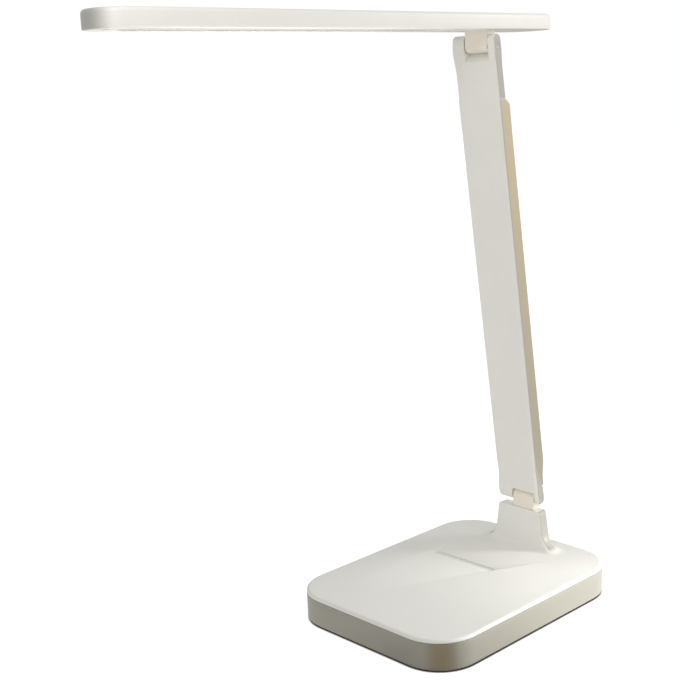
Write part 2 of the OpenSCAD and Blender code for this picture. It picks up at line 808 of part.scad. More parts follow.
module head_housing() {
  color(white) in_head() difference() {
    union() {
      difference() {
        translate([0, head_mid, head_z0]) soft_slab(head_w, head_l, head_round, head_t, head_edge);
        in_cavity(cavity_w, head_z0 - over, roof_z - head_z0 + over, 0);
      }
      at_bezel_screws() translate([0, 0, bezel_z + hair]) cylinder(r = bezel_boss, h = roof_z - bezel_z);
      at_head_screws() translate([0, 0, bezel_z + head_plate[2] + 2*hair])
        cylinder(r = bezel_boss, h = roof_z - bezel_z - head_plate[2]);
    }
    at_bezel_screws() translate([0, 0, bezel_z - over]) cylinder(r = m2[0] + screw_play, h = roof_z - bezel_z + over);
    at_head_screws() translate([0, 0, bezel_z]) cylinder(r = m2[0] + screw_play, h = roof_z - bezel_z);
  }
}

module head_bezel() {
  color(white) in_head() difference() {
    in_cavity(cavity_w, head_z0, bezel_t, slip/2);
    translate([0, window_mid, head_z0 - over]) y_pill(window_l, window_w, bezel_t + 2*over);
    translate([knuckle_u[0] - web_clear, -block_r - web_clear, head_z0 - over])
      cube([knuckle_u[1] - knuckle_u[0] + 2*web_clear, block_t + 2*web_clear, bezel_t + 2*over]);
    at_bezel_screws() {
      translate([0, 0, head_z0 - over]) cylinder(r = m2[0] + screw_play, h = bezel_t + 2*over);
      translate([0, 0, head_z0 - over]) cylinder(r = m2[1] + screw_play, h = over + bezel_head_t);
    }
  }
}

module bezel_screws() {
  color(steel) in_head() at_bezel_screws() {
    translate([0, 0, head_z0 + hair]) cylinder(r = m2[1], h = bezel_head_t - hair);
    translate([0, 0, head_z0 + bezel_head_t]) cylinder(r = m2[0], h = roof_z - head_z0 - bezel_head_t - over);
  }
}

// Opal plate on the bezel's lip, with a raised field that fills the window
module diffuser() {
  field = bezel_t - 0.6;
  color([0.96, 0.96, 0.94]) in_head() {
    translate([-guide_w/2, window_y0 - guide_end, bezel_z + hair]) cube([guide_w, window_l + 2*guide_end, diffuser_t - hair]);
    translate([0, window_mid, bezel_z - field])
      y_pill(window_l - 2*slip, window_w - 2*slip, field + 2*hair);
  }
}

module light_guide() {
  color([0.85, 0.92, 0.95]) in_head()
    translate([-guide_w/2, window_y0 - guide_end, guide_z + hair]) cube([guide_w, window_l + 2*guide_end, guide_t - hair]);
}

module reflector_film() {
  color([0.98, 0.98, 0.98]) in_head()
    translate([-guide_w/2, window_y0 - guide_end, film_z + hair]) cube([guide_w, window_l + 2*guide_end, film_t - hair]);
}

module heat_spreader() {
  z = film_z + film_t + hair;
  color([0.78, 0.79, 0.80]) in_head()
    translate([-led_x, window_y0 - guide_end, z]) cube([2*led_x, window_l + 2*guide_end, roof_z - hair - z]);
}

module led_boards() {
  color([0.92, 0.92, 0.90]) in_head() for (s = [0, 1]) mirror([s, 0, 0])
    translate([led_x, window_y0, guide_z]) cube([led_board_t, window_l, guide_t]);
}

module led_packages() {
  span = (led_n - 1)*led_pitch;
  color([0.95, 0.85, 0.45]) in_head() for (s = [0, 1], i = [0:led_n - 1]) mirror([s, 0, 0])
    translate([led_x - led_deep, window_mid - span/2 + i*led_pitch - led_l/2, guide_z + (guide_t - led_h)/2])
      cube([led_deep - hair/2, led_l, led_h]);
}

module upper_hinge_block() {
  x0 = knuckle_u[0];
  w = knuckle_u[1] - x0;
  color(white) in_head() difference() {
    union() {
      x_rod(block_r, x0, x0 + w);
      translate([x0, -block_r, 0]) cube([w, block_t, bezel_z + hair]);
      translate([-head_plate[0]/2, -head_plate[1]/2, bezel_z + hair]) cube(head_plate);
    }
    x_rod(pin_r + pin_play, x0 - over, x0 + w + over);
    at_head_screws() translate([0, 0, bezel_z - over]) cylinder(r = m2[0] + screw_play, h = head_plate[2] + 2*over);
    translate([0, 0, block_r - 1]) cylinder(r = lead_hole, h = roof_z);
    translate([0, 0, bezel_z + head_plate[2]/2]) cylinder(r = lead_mouth, h = roof_z);
  }
}

module upper_block_screws() {
  color(steel) in_head() at_head_screws() translate([0, 0, bezel_z + hair])
    cylinder(r = m2[0], h = roof_z - bezel_z - hair - over/2);
}

module head_lead() {
  color([0.15, 0.15, 0.15]) in_head() lead(head_route, lead_r);
}

foot_pad();
base_tray();
ballast_plate();
ballast_screws();
base_screws();
base_top_cover();
touch_bar();
touch_board();
touch_screws();
control_board();
control_parts();
board_screws();
usb_socket();
lower_hinge_block();
lower_block_screws();
base_lead();
touch_lead();
lower_hinge_pin();
lower_hinge_nut();
lower_friction_washers();
lower_hinge_caps();
arm_front_housing();
arm_rear_cover();
arm_spine();
arm_screws();
arm_lead();
upper_hinge_pin();
upper_hinge_nut();
upper_friction_washers();
upper_hinge_caps();
upper_hinge_block();
upper_block_screws();
head_housing();
head_bezel();
bezel_screws();
diffuser();
light_guide();
reflector_film();
heat_spreader();
led_boards();
led_packages();
head_lead();
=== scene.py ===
import math

import bmesh
import bpy
from mathutils import Matrix, Vector


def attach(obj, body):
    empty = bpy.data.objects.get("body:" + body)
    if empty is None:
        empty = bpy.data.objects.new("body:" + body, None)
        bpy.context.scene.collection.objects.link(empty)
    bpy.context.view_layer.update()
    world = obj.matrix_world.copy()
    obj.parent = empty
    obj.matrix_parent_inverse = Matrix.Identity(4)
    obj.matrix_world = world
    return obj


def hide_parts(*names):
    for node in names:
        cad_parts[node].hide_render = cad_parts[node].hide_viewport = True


# The looks of the folding desk lamp around its CAD frame. Shapes are in millimetres, materials in metres.

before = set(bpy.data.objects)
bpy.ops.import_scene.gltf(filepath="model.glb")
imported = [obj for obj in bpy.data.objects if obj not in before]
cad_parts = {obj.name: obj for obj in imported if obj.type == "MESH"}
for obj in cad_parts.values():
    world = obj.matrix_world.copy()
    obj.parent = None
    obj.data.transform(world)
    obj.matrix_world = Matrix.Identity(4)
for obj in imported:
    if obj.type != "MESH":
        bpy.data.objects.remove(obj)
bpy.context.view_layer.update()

MM = 0.001
IDENTITY = Matrix.Identity(4)


def cosd(degrees):
    return math.cos(math.radians(degrees))


def sind(degrees):
    return math.sin(math.radians(degrees))


# ---------------------------------------------------------------- shader nodes

def node_tree(name):
    """A new material, its node tree and its surface shader."""
    mat = bpy.data.materials.new(name)
    mat.use_nodes = True
    tree = mat.node_tree
    return mat, tree, tree.nodes["Principled BSDF"]


def add(tree, kind, **values):
    node = tree.nodes.new(kind)
    for key, value in values.items():
        setattr(node, key, value)
    return node


def put(node, values):
    """Sets sockets of a node by name."""
    for socket, value in values.items():
        node.inputs[socket].default_value = value


def noise(tree, vector, scale, detail, roughness=0.5):
    node = add(tree, "ShaderNodeTexNoise")
    put(node, {"Scale": scale, "Detail": detail, "Roughness": roughness})
    tree.links.new(vector, node.inputs["Vector"])
    return node.outputs["Fac"]


def ramp(tree, value, low, high):
    """Colour between two stops of (position, colour)."""
    node = add(tree, "ShaderNodeValToRGB")
    for stop, (position, colour) in zip(node.color_ramp.elements, (low, high)):
        stop.position = position
        stop.color = colour
    tree.links.new(value, node.inputs["Fac"])
    return node.outputs["Color"]


def smooth_step(tree, value, low, high):
    """Rises softly from 0 at low to 1 at high."""
    node = add(tree, "ShaderNodeMapRange", interpolation_type="SMOOTHSTEP")
    put(node, {"From Min": low, "From Max": high})
    tree.links.new(value, node.inputs["Value"])
    return node.outputs["Result"]


def reach(tree, vector, towards):
    """Length of a vector along a direction."""
    node = add(tree, "ShaderNodeVectorMath", operation="DOT_PRODUCT")
    tree.links.new(vector, node.inputs[0])
    node.inputs[1].default_value = Vector(towards).normalized()
    return node.outputs["Value"]


# ---------------------------------------------------------------- materials

CLOUD = (22.0, 4.0, 0.6)      # noise of the soft tone: scale, detail, roughness
CLOUD_STOPS = (0.3, 0.7)
GRAIN_DETAIL = 2.0
DUST = (0.25, (0.86, 0.86, 0.86, 1))
CLEAN = (0.55, (1, 1, 1, 1))
DUST_SHARE = 0.35
GLOSS_SPREAD = 0.05
LEAST_ROUGH = 0.02
COAT_ROUGH = 0.25


def shade(colour, factor):
    return [min(1.0, c * factor) for c in colour] + [1.0]


def cloudy(tree, cloud, colour, tone):
    """The colour, darker by tone in some clouds and lighter by half of it in others."""
    low, high = CLOUD_STOPS
    return ramp(tree, cloud, (low, shade(colour, 1.0 - tone)), (high, shade(colour, 1.0 + tone * 0.5)))


def dusted(tree, grain, colour):
    """The colour with fine, slightly darker specks."""
    speck = add(tree, "ShaderNodeMix", data_type="RGBA", blend_type="MULTIPLY")
    speck.inputs["Factor"].default_value = DUST_SHARE
    tree.links.new(colour, speck.inputs["A"])
    tree.links.new(ramp(tree, grain, DUST, CLEAN), speck.inputs["B"])
    return speck.outputs["Result"]


def faded(tree, point, body, towards, near, far, colour):
    """Lets the body's colour run out into another one along a direction, from distance near to far."""
    mix = add(tree, "ShaderNodeMix", data_type="RGBA")
    tree.links.new(smooth_step(tree, reach(tree, point, towards), near, far), mix.inputs["Factor"])
    tree.links.new(body, mix.inputs["A"])
    mix.inputs["B"].default_value = (*colour, 1)
    return mix.outputs["Result"]


def uneven_gloss(tree, cloud, rough):
    gloss = add(tree, "ShaderNodeMapRange")
    put(gloss, {"To Min": max(LEAST_ROUGH, rough - GLOSS_SPREAD), "To Max": rough + GLOSS_SPREAD})
    tree.links.new(cloud, gloss.inputs["Value"])
    return gloss.outputs["Result"]


def relief(tree, height, strength, grain):
    bumps = add(tree, "ShaderNodeBump")
    put(bumps, {"Strength": strength, "Distance": grain * 0.5})
    tree.links.new(height, bumps.inputs["Height"])
    return bumps.outputs["Normal"]


def moulded(name, colour, rough=0.42, grain=0.00045, bump=0.05, tone=0.03, coat=0.0,
            stretch=(1, 1, 1), metal=0.0, fade=None):
    """A moulded or coated surface: soft cloudy tone, a fine grain and uneven gloss, in object space."""
    mat, tree, bsdf = node_tree(name)
    where = add(tree, "ShaderNodeTexCoord")
    scale = add(tree, "ShaderNodeMapping")
    scale.inputs["Scale"].default_value = stretch
    tree.links.new(where.outputs["Object"], scale.inputs["Vector"])
    cloud = noise(tree, scale.outputs["Vector"], *CLOUD)
    fine = noise(tree, scale.outputs["Vector"], 1.0 / grain, GRAIN_DETAIL)

    body = dusted(tree, fine, cloudy(tree, cloud, colour, tone))
    # the fade paints shade on the head's tip, the cover's front, the base's near corner and the champagne
    # cover, and blends the neck's grey flanks into the white at its foot
    if fade:
        body = faded(tree, where.outputs["Object"], body, *fade)
    tree.links.new(body, bsdf.inputs["Base Color"])
    tree.links.new(uneven_gloss(tree, cloud, rough), bsdf.inputs["Roughness"])
    tree.links.new(relief(tree, fine, bump, grain), bsdf.inputs["Normal"])
    put(bsdf, {"Metallic": metal, "Coat Weight": coat, "Coat Roughness": COAT_ROUGH})
    return mat


WHITE = (0.92, 0.91, 0.872)
BASE_WHITE = (0.91, 0.905, 0.868)
SIDE_GREY = (0.50, 0.485, 0.445)

# fades: direction, distances in metres where the other colour begins and is full, and that colour; all
# but the neck's are painted shade
# painted shade: the head's tip runs darker at its front end
TIP_PAINTED_SHADE = ((0, -1, 0), 0.2254, 0.2347, (0.175, 0.18, 0.163))
# painted shade: the base's top cover darker towards the front
COVER_PAINTED_SHADE = ((0, -1, 0), -0.035, 0.055, (0.80, 0.80, 0.772))
# painted shade: a dark brown tint at the base side's near corner
CORNER_PAINTED_SHADE = ((1, -1, 0), 0.0895, 0.0935, (0.22, 0.16, 0.075))
NECK_FADE = ((0, 0, -1), -0.0215, -0.0195, BASE_WHITE)
# painted shade: the champagne cover darker towards the bottom of the arm
CHAMPAGNE_PAINTED_SHADE = ((0, 0, -1), -0.29, -0.05, (0.47, 0.44, 0.35))

MATERIALS = {
    "white": moulded("white_satin", WHITE, rough=0.38),
    # this white paints shade on the head's tip
    "head_white": moulded("head_satin_painted_tip_shade", WHITE, rough=0.38, fade=TIP_PAINTED_SHADE),
    "base_white": moulded("base_top_satin", BASE_WHITE, rough=0.40),
    # this white paints shade towards the cover's front
    "cover_white": moulded("base_cover_satin_painted_front_shade", BASE_WHITE, rough=0.40, fade=COVER_PAINTED_SHADE),
    # this grey paints shade at the base's near corner
    "grey": moulded("base_side_grey_painted_corner_shade", (0.345, 0.332, 0.285), rough=0.45, tone=0.05, fade=CORNER_PAINTED_SHADE),
    "side": moulded("arm_side_grey", SIDE_GREY, tone=0.04),
    "neck_side": moulded("neck_side_grey", SIDE_GREY, tone=0.04, fade=NECK_FADE),
    # the champagne paints shade down the arm
    "champagne": moulded("champagne_anodised_painted_shade", (0.615, 0.53, 0.378), rough=0.38, metal=0.2,
                         stretch=(1, 1, 0.1), tone=0.05, fade=CHAMPAGNE_PAINTED_SHADE),
    "block": moulded("hinge_block_paint", (0.97, 0.905, 0.80), rough=0.40),
    "foam": moulded("foot_foam", (0.035, 0.035, 0.036), rough=0.9, grain=0.0012, bump=0.6, tone=0.2),
    "lens": moulded("touch_lens", (0.80, 0.81, 0.775), rough=0.22, coat=0.3),
    "steel": moulded("zinc_steel", (0.55, 0.56, 0.58), rough=0.34, metal=1.0, stretch=(1, 12, 1)),
    "tin": moulded("tin_plate", (0.72, 0.73, 0.75), rough=0.2, metal=1.0),
    "bronze": moulded("washer_bronze", (0.50, 0.36, 0.17), rough=0.38, metal=1.0),
    "aluminium": moulded("mill_aluminium", (0.80, 0.81, 0.82), rough=0.33, metal=1.0,
                         stretch=(1, 0.1, 1)),
    "board": moulded("solder_mask", (0.02, 0.16, 0.06), rough=0.28, grain=0.0009, coat=0.4),
    "board_white": moulded("white_solder_mask", (0.85, 0.85, 0.82), rough=0.3),
    "chip": moulded("moulded_chip", (0.02, 0.02, 0.022), rough=0.5, bump=0.2),
    "rubber": moulded("lead_rubber", (0.03, 0.03, 0.03), rough=0.6, bump=0.15),
    "opal": moulded("opal_diffuser", (0.80, 0.81, 0.80), rough=0.25, coat=0.2),
    "guide": moulded("clear_guide", (0.80, 0.88, 0.90), rough=0.12),
    "film": moulded("reflector_film", (0.93, 0.93, 0.93), rough=0.5),
    "led": moulded("led_phosphor", (0.93, 0.72, 0.20), rough=0.35),
}

LOOK = {
    "foot_pad": "foam", "base_tray": "grey", "ballast_plate": "steel", "ballast_screws": "steel",
    "base_screws": "steel", "base_top_cover": "cover_white", "touch_bar": "lens", "touch_board": "board",
    "touch_screws": "steel", "control_board": "board", "control_parts": "chip", "board_screws": "steel",
    "usb_socket": "tin", "lower_hinge_block": "block", "lower_block_screws": "steel",
    "base_lead": "rubber", "touch_lead": "rubber", "lower_hinge_pin": "steel", "lower_hinge_nut": "steel",
    "lower_friction_washers": "bronze", "lower_hinge_caps": "white", "arm_front_housing": "white",
    "arm_rear_cover": "champagne", "arm_spine": "steel", "arm_screws": "steel", "arm_lead": "rubber",
    "upper_hinge_pin": "steel", "upper_hinge_nut": "steel", "upper_friction_washers": "bronze",
    "upper_hinge_caps": "white", "upper_hinge_block": "block", "upper_block_screws": "steel",
    "head_housing": "white", "head_bezel": "white", "bezel_screws": "steel", "diffuser": "opal",
    "light_guide": "guide", "reflector_film": "film", "heat_spreader": "aluminium",
    "led_boards": "board_white", "led_packages": "led", "head_lead": "rubber",
}
for node, look in LOOK.items():
    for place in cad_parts[node].material_slots:
        place.material = MATERIALS[look]


# ---------------------------------------------------------------- shapes, in millimetres

PIVOT = Vector((0, 66, 52))     # the lower hinge
LEAN = math.radians(7.5)
ARM_L = 286.0                   # from hinge to hinge
ARM = Matrix.Translation(PIVOT) @ Matrix.Rotation(LEAN, 4, "X")
HEAD = Matrix.Translation(ARM @ Vector((0, 0, ARM_L)))
QUARTER = math.radians(90)
TURN = {
    "X": Matrix.Rotation(QUARTER, 4, "Y"),
    "Y": Matrix.Rotation(-QUARTER, 4, "X"),
    "Z": IDENTITY,
}
MADE_SHARP = math.radians(38)       # sharper edges are shaded sharp, as made ...
SOFTENED_SHARP = math.radians(40)   # ... and once softened

PIECES = []                     # each piece with its body and the nodes that it replaces


def to_object(bm, name, place, material):
    bmesh.ops.recalc_face_normals(bm, faces=bm.faces)
    mesh = bpy.data.meshes.new(name)
    bm.to_mesh(mesh)
    bm.free()
    mesh.transform(Matrix.Scale(MM, 4) @ place)
    mesh.materials.append(MATERIALS[material])
    smooth(mesh, MADE_SHARP)
    obj = bpy.data.objects.new(name, mesh)
    bpy.context.collection.objects.link(obj)
    return obj


def smooth(mesh, sharp):
    for polygon in mesh.polygons:
        polygon.use_smooth = True
    mesh.set_sharp_from_angle(angle=sharp)


def piece(bm, name, place, material, body, replaces=()):
    """Makes a visible piece; it is handed to its body once all pieces are finished."""
    obj = to_object(bm, name, place, material)
    PIECES.append((obj, body, replaces))
    return obj


def sag(r, x):
    """How far a circle of radius r has dropped at x from its top."""
    return r - math.sqrt(max(0.0, r * r - x * x))


def arc(r, start, end, n):
    return [(r * cosd(start + (end - start) * k / n), r * sind(start + (end - start) * k / n))
            for k in range(n + 1)]


def rounded_outline(corners, n, m):
    """Outline over four corners of (x, y, x radius, y radius, first angle): n steps a bend, m a side."""
    points = []
    for i, (cx, cy, rx, ry, start) in enumerate(corners):
        angles = [start + 90 * k / n for k in range(n + 1)]
        bend = [(cx + rx * cosd(a), cy + ry * sind(a)) for a in angles]
        points += bend
        nx, ny, nrx, nry, begin = corners[(i + 1) % 4]
        px, py = bend[-1]
        qx, qy = nx + nrx * cosd(begin), ny + nry * sind(begin)
        points += [(px + (qx - px) * k / m, py + (qy - py) * k / m) for k in range(1, m)]
    return points


def plan(width, length, r, n=12, m=10):
    """Rounded rectangle about the origin, counter-clockwise."""
    r = min(r, width / 2 - 0.01, length / 2 - 0.01)
    x, y = width / 2 - r, length / 2 - r
    corners = [(x, y, r, r, 0), (-x, y, r, r, 90), (-x, -y, r, r, 180), (x, -y, r, r, 270)]
    return rounded_outline(corners, n, m)


def loft(rings):
    """Skins closed rings with equal numbers of points, and closes both ends."""
    bm = bmesh.new()
    grid = [[bm.verts.new(p) for p in ring] for ring in rings]
    n = len(grid[0])
    for a, b in zip(grid, grid[1:]):
        for k in range(n):
            bm.faces.new((a[k], a[(k + 1) % n], b[(k + 1) % n], b[k]))
    bm.faces.new(grid[0][::-1])
    bm.faces.new(grid[-1])
    return bm


def stack(width, length, r, levels, dy=0.0):
    """Slab whose wall follows levels of (inset, height)."""
    rings = []
    for inset, z in levels:
        outline = plan(width - 2 * inset, length - 2 * inset, max(0.3, r - inset))
        rings.append([(x, y + dy, z) for x, y in outline])
    return loft(rings)


def upper_edge(r, z, angles):
    """Levels of a wall that rounds off inwards above height z."""
    return [(r - r * cosd(a), z + r * sind(a)) for a in angles]


def lower_edge(r, z, angles):
    """Levels of a wall that rounds out from below up to height z."""
    return [(r - r * sind(a), z - r * cosd(a)) for a in angles]


def moved(bm, place):
    bmesh.ops.transform(bm, matrix=place, verts=bm.verts)
    return bm


def lathe(profile, axis="X", n=48, centre=(0, 0, 0)):
    """Turns a profile of (radius, height), closed by radius 0 at both ends, about an axis."""
    bm = bmesh.new()
    spokes = [(math.cos(2 * math.pi * k / n), math.sin(2 * math.pi * k / n)) for k in range(n)]
    rings = []
    for r, h in profile:
        rings.append([bm.verts.new((r * c, r * s, h)) for c, s in (spokes if r else spokes[:1])])
    for a, b in zip(rings, rings[1:]):
        for k in range(n):
            j = (k + 1) % n
            if len(a) == 1:
                bm.faces.new((a[0], b[k], b[j]))
            elif len(b) == 1:
                bm.faces.new((a[k], b[0], a[j]))
            else:
                bm.faces.new((a[k], b[k], b[j], a[j]))
    return moved(bm, Matrix.Translation(centre) @ TURN[axis])


def rod(r, start, end, axis="X", n=32, up=0.0):
    """Cylinder along an axis, up above the origin."""
    return lathe([(0, start), (r, start), (r, end), (0, end)], axis, n, (0, 0, up))


def box(low, high):
    (x0, y0, z0), (x1, y1, z1) = low, high
    bm = bmesh.new()
    v = [bm.verts.new((x, y, z)) for z in (z0, z1) for x, y in ((x0, y0), (x1, y0), (x1, y1), (x0, y1))]
    for face in ((0, 3, 2, 1), (4, 5, 6, 7), (0, 1, 5, 4), (1, 2, 6, 5), (2, 3, 7, 6), (3, 0, 4, 7)):
        bm.faces.new([v[i] for i in face])
    return bm


def slot(length, width, z0, z1, at=(0, 0)):
    """Upright cutter with round ends, long along X."""
    outline = plan(length, width, width / 2, 10, 6)
    return loft([[(x + at[0], y + at[1], z) for x, y in outline] for z in (z0, z1)])


def prism(points, x0, x1):
    """Prism along X over points of (y, z)."""
    return loft([[(x, y, z) for y, z in points] for x in (x0, x1)])


def bake(obj):
    """Applies obj's modifiers."""
    graph = bpy.context.evaluated_depsgraph_get()
    done = bpy.data.meshes.new_from_object(obj.evaluated_get(graph))
    obj.modifiers.clear()
    old = obj.data
    obj.data = done
    bpy.data.meshes.remove(old)


def cut(obj, place, *cutters):
    """Takes cutters, all placed by one matrix, away from obj."""
    for i, bm in enumerate(cutters):
        tool = to_object(bm, obj.name + "_cut%d" % i, place, "white")
        mod = obj.modifiers.new("cut", "BOOLEAN")
        mod.operation = "DIFFERENCE"
        mod.solver = "EXACT"
        mod.object = tool
        bake(obj)
        bpy.data.objects.remove(tool)


def soften(obj, width, angle, segments):
    """Rounds obj's edges that are sharper than angle."""
    mod = obj.modifiers.new("soft", "BEVEL")
    mod.width = width * MM
    mod.segments = segments
    mod.limit_method = "ANGLE"
    mod.angle_limit = math.radians(angle)
    mod.harden_normals = False
    mod.use_clamp_overlap = True
    mod.miter_outer = "MITER_ARC"
    bake(obj)
    smooth(obj.data, SOFTENED_SHARP)


def side_look(obj, place, material, picks):
    """Gives a second material to the faces of obj that picks(point, normal) takes."""
    obj.data.materials.append(MATERIALS[material])
    back = (Matrix.Scale(MM, 4) @ place).inverted()
    turn = back.to_3x3().normalized()
    for polygon in obj.data.polygons:
        if picks(back @ polygon.center, (turn @ polygon.normal).normalized()):
            polygon.material_index = 1


SCREW_STEP = 0.25               # height of the screw heads' rounded rim
CROSS_HALF = 0.22               # half the width of their cross recess
CROSS_REACH = 0.62              # its length, as a share of the head


def screw_head(name, place, centre, axis, r, start, top, body, replaces):
    """Pan head with a cross recess, from start to top along the axis."""
    step = math.copysign(SCREW_STEP, top - start)
    profile = [(0, start), (r, start), (r, top - 2 * step), (r - 0.12, top - step),
               (r - 0.45, top - 0.2 * step), (0, top)]
    head = piece(lathe(profile, axis, 32, centre), name, place, "steel", body, replaces)
    low, high = sorted((top - 3 * step, top + 3 * step))
    long, thin = r * CROSS_REACH, CROSS_HALF
    cut(head, place @ Matrix.Translation(centre) @ TURN[axis],
        box((-long, -thin, low), (long, thin, high)),
        box((-thin, -long, low), (thin, long, high)))
    soften(head, 0.06, 50, 2)


# ---------------------------------------------------------------- base and neck

BASE_PLAN = (125, 166, 26)      # width, length, corner radius
COVER_TOP = 19.0

# a faint step at the foot, a straight wall, and a lip that leaves a shadow line under the top cover
TRAY_LEVELS = [
    (9, 3.2), (2.6, 3.2), (2.6, 2.2), (2.6, 1.0), (0.9, 1.0),
    *lower_edge(0.9, 1.9, (15, 30, 45, 60, 75, 90)),
    (0, 6), (0, 12), (0, 16.5), (0.12, 16.8), (0.35, 16.9), (2.4, 16.9), (2.4, 12), (9, 12),
]
COVER_LEVELS = [
    (9, 14.5), (2.6, 14.5), (2.6, 17.0), (0.25, 17.05), (0.05, 17.15),
    *upper_edge(1.7, 17.3, (8, 20, 32, 44, 56, 68, 80, 90)),
    (2.6, COVER_TOP), (8, COVER_TOP), (22, COVER_TOP),
]
USB_OPENING = (9.34, 3.66)
USB_DEPTH = 12
USB_AT = (0, 84, 9.48)
TOUCH_OPENING = (48, 4.4)
TOUCH_AT = (-9, 17.5)
COVER_SLOT = ((-5.0, 63.6, 10), (12.2, 68.4, 40))      # where the knuckle's web stands in the cover ...
NECK_SLOT = ((-4.95, 63.7, 10), (12.15, 68.3, 60))     # ... and in the neck, a little tighter

NECK_LEVELS = (
    17.6, 19.0, 19.03, 19.1, 19.2, 19.35, 19.55, 19.8, 20.1, 20.5, 21, 21.6, 22.3, 23.2,
    24.5, 26, 28, 30, 33, 37, 41, 42.7, 43.3, 43.8, 44.15, 44.4, 44.5,
)
NECK_TOP = 44.5
NECK_TOP_HALF = 16.4            # half its width there
NECK_SLOPE = 8                  # degrees that its flanks lean
NECK_DEPTH_HALF = 3.8
FLANK_BLEND = 13.0              # radius of the hollow blend into the cover, at the flanks ...
FACE_BLEND = 4.0                # ... and in front and behind
SHOULDER_FROM, SHOULDER_R = 42.7, 1.8      # rounding of the top at the flanks ...
RIM_FROM, RIM_R = 44.0, 0.5                # ... and in front and behind
FLARE_HALF, FLARE_UNDER = 18.7, 30         # where the upright corners round off more, with the width


def base_pieces():
    tray = piece(stack(*BASE_PLAN, TRAY_LEVELS), "base_side_shell", IDENTITY, "grey", "base",
                 ["base_tray"])
    upright = Matrix.Translation(USB_AT) @ Matrix.Rotation(QUARTER, 4, "X")
    cut(tray, IDENTITY, moved(slot(*USB_OPENING, 0, USB_DEPTH), upright))
    cover = piece(stack(*BASE_PLAN, COVER_LEVELS), "base_top", IDENTITY, "cover_white", "base")
    cut(cover, IDENTITY, slot(*TOUCH_OPENING, 10, 30, TOUCH_AT), box(*COVER_SLOT))
    soften(cover, 0.35, 55, 2)


def neck_half(z):
    """Half width and half depth of the neck at height z, with the hollow blend into the top cover."""
    blend_z = COVER_TOP + FLANK_BLEND
    down = (NECK_TOP + FLANK_BLEND * sind(NECK_SLOPE) - blend_z) / cosd(NECK_SLOPE)
    if z > NECK_TOP - down * cosd(NECK_SLOPE):
        width = NECK_TOP_HALF + (NECK_TOP - z) * math.tan(math.radians(NECK_SLOPE))
    else:
        blend_x = NECK_TOP_HALF + down * sind(NECK_SLOPE) + FLANK_BLEND * cosd(NECK_SLOPE)
        width = blend_x - math.sqrt(max(0.0, FLANK_BLEND ** 2 - (blend_z - z) ** 2))
    return width, NECK_DEPTH_HALF + sag(FACE_BLEND, max(0.0, COVER_TOP + FACE_BLEND - z))


def neck_ring(z):
    width, depth = neck_half(max(z, COVER_TOP))
    shoulder = sag(SHOULDER_R, max(0.0, z - SHOULDER_FROM))
    rim = sag(RIM_R, max(0.0, z - RIM_FROM))
    flare = width - FLARE_HALF if z < FLARE_UNDER else 0
    r = max(0.5, min(0.9 + 0.55 * flare, depth * 0.85))
    return [(x, y + PIVOT.y, z) for x, y in plan(2 * (width - shoulder), 2 * (depth - rim), r, 8, 6)]


def neck_flank(point, normal):
    outside = abs(point.x) > 15 and point.z > 20.1
    return outside and abs(normal.x) > 0.3 and abs(normal.x) > abs(normal.y)


def neck_piece():
    neck = piece(loft([neck_ring(z) for z in NECK_LEVELS]), "neck", IDENTITY, "base_white", "base",
                 ["base_top_cover"])
    cut(neck, IDENTITY, box(*NECK_SLOT))
    soften(neck, 0.25, 60, 2)
    side_look(neck, IDENTITY, "neck_side", neck_flank)


# ---------------------------------------------------------------- arm: x across, v in depth, u along it

ARM_X = 15.5                    # half its width
EAR_R = 3.5                     # half its depth at the ears, which end round
PLATE_BACK = -1.9               # back of the front plate between the ears
PLATE_WIDE = 2.4                # how wide its front corners are
TIP_ANGLES = (84, 74, 64, 52, 40, 28, 14, 0)
UPPER_TIP = ARM_L + 3.2
LOW_NOTCH = (-5.3, 12.5)
TOP_NOTCH = (-6.8, 11.0)
TOP_NOTCH_U = ARM_L - 3.8
BORE_R = 1.3
CAP_RECESS_R = 2.4
SCREWS_U = (ARM_L * 0.18, ARM_L * 0.5, ARM_L * 0.82)

REAR_IN, REAR_OUT = -1.82, 7.5
REAR_LEVELS = [                 # u, and how deep the rear cover begins and ends there
    (9.15, 3.50, 3.58), (12, 2.38, 4.33), (16, 0.82, 5.38), (20, -0.75, 6.44), (22.85, REAR_IN, 7.15),
    (24, REAR_IN, 7.42), *[(u, REAR_IN, REAR_OUT) for u in (25.5, 60, 100, 140, 180, 220, 250.6)],
    (251.6, REAR_IN, 7.35), (252.4, REAR_IN, 6.9), (255.0, REAR_IN, 4.5), (255.9, REAR_IN, 3.7),
]


def section(x0, x1, v0, v1, front, back, u, wide=0.0):
    """Cross-section of the arm: its front corners are rounded front deep and at least wide across."""
    half = (v1 - v0) / 2 - 0.004
    front, back = max(0.01, min(front, half)), max(0.01, min(back, half))
    across = max(front, wide)
    corners = [(x1 - back, v1 - back, back, back, 0), (x0 + back, v1 - back, back, back, 90),
               (x0 + across, v0 + front, across, front, 180),
               (x1 - across, v0 + front, across, front, 270)]
    return [(x, v, u) for x, v in rounded_outline(corners, 8, 5)]


def swell(t):
    """How far the left ear swells out, t mm along the arm from its hinge axis."""
    return 0.75 * max(0.0, 1.0 - ((t - 4.0) / 11.0) ** 2) ** 1.5


def ear_section(x0, x1, half, u, t):
    """Section of the ears, t mm from a hinge axis; the corners are small there, where the caps sit."""
    grow = min(1.0, max(0.0, (t - 3.5) / 7.0))
    deep, wide = 0.75 + 0.85 * grow, 0.9 + 1.5 * grow
    return section(x0, x1, -half, half, deep, deep, u, wide)


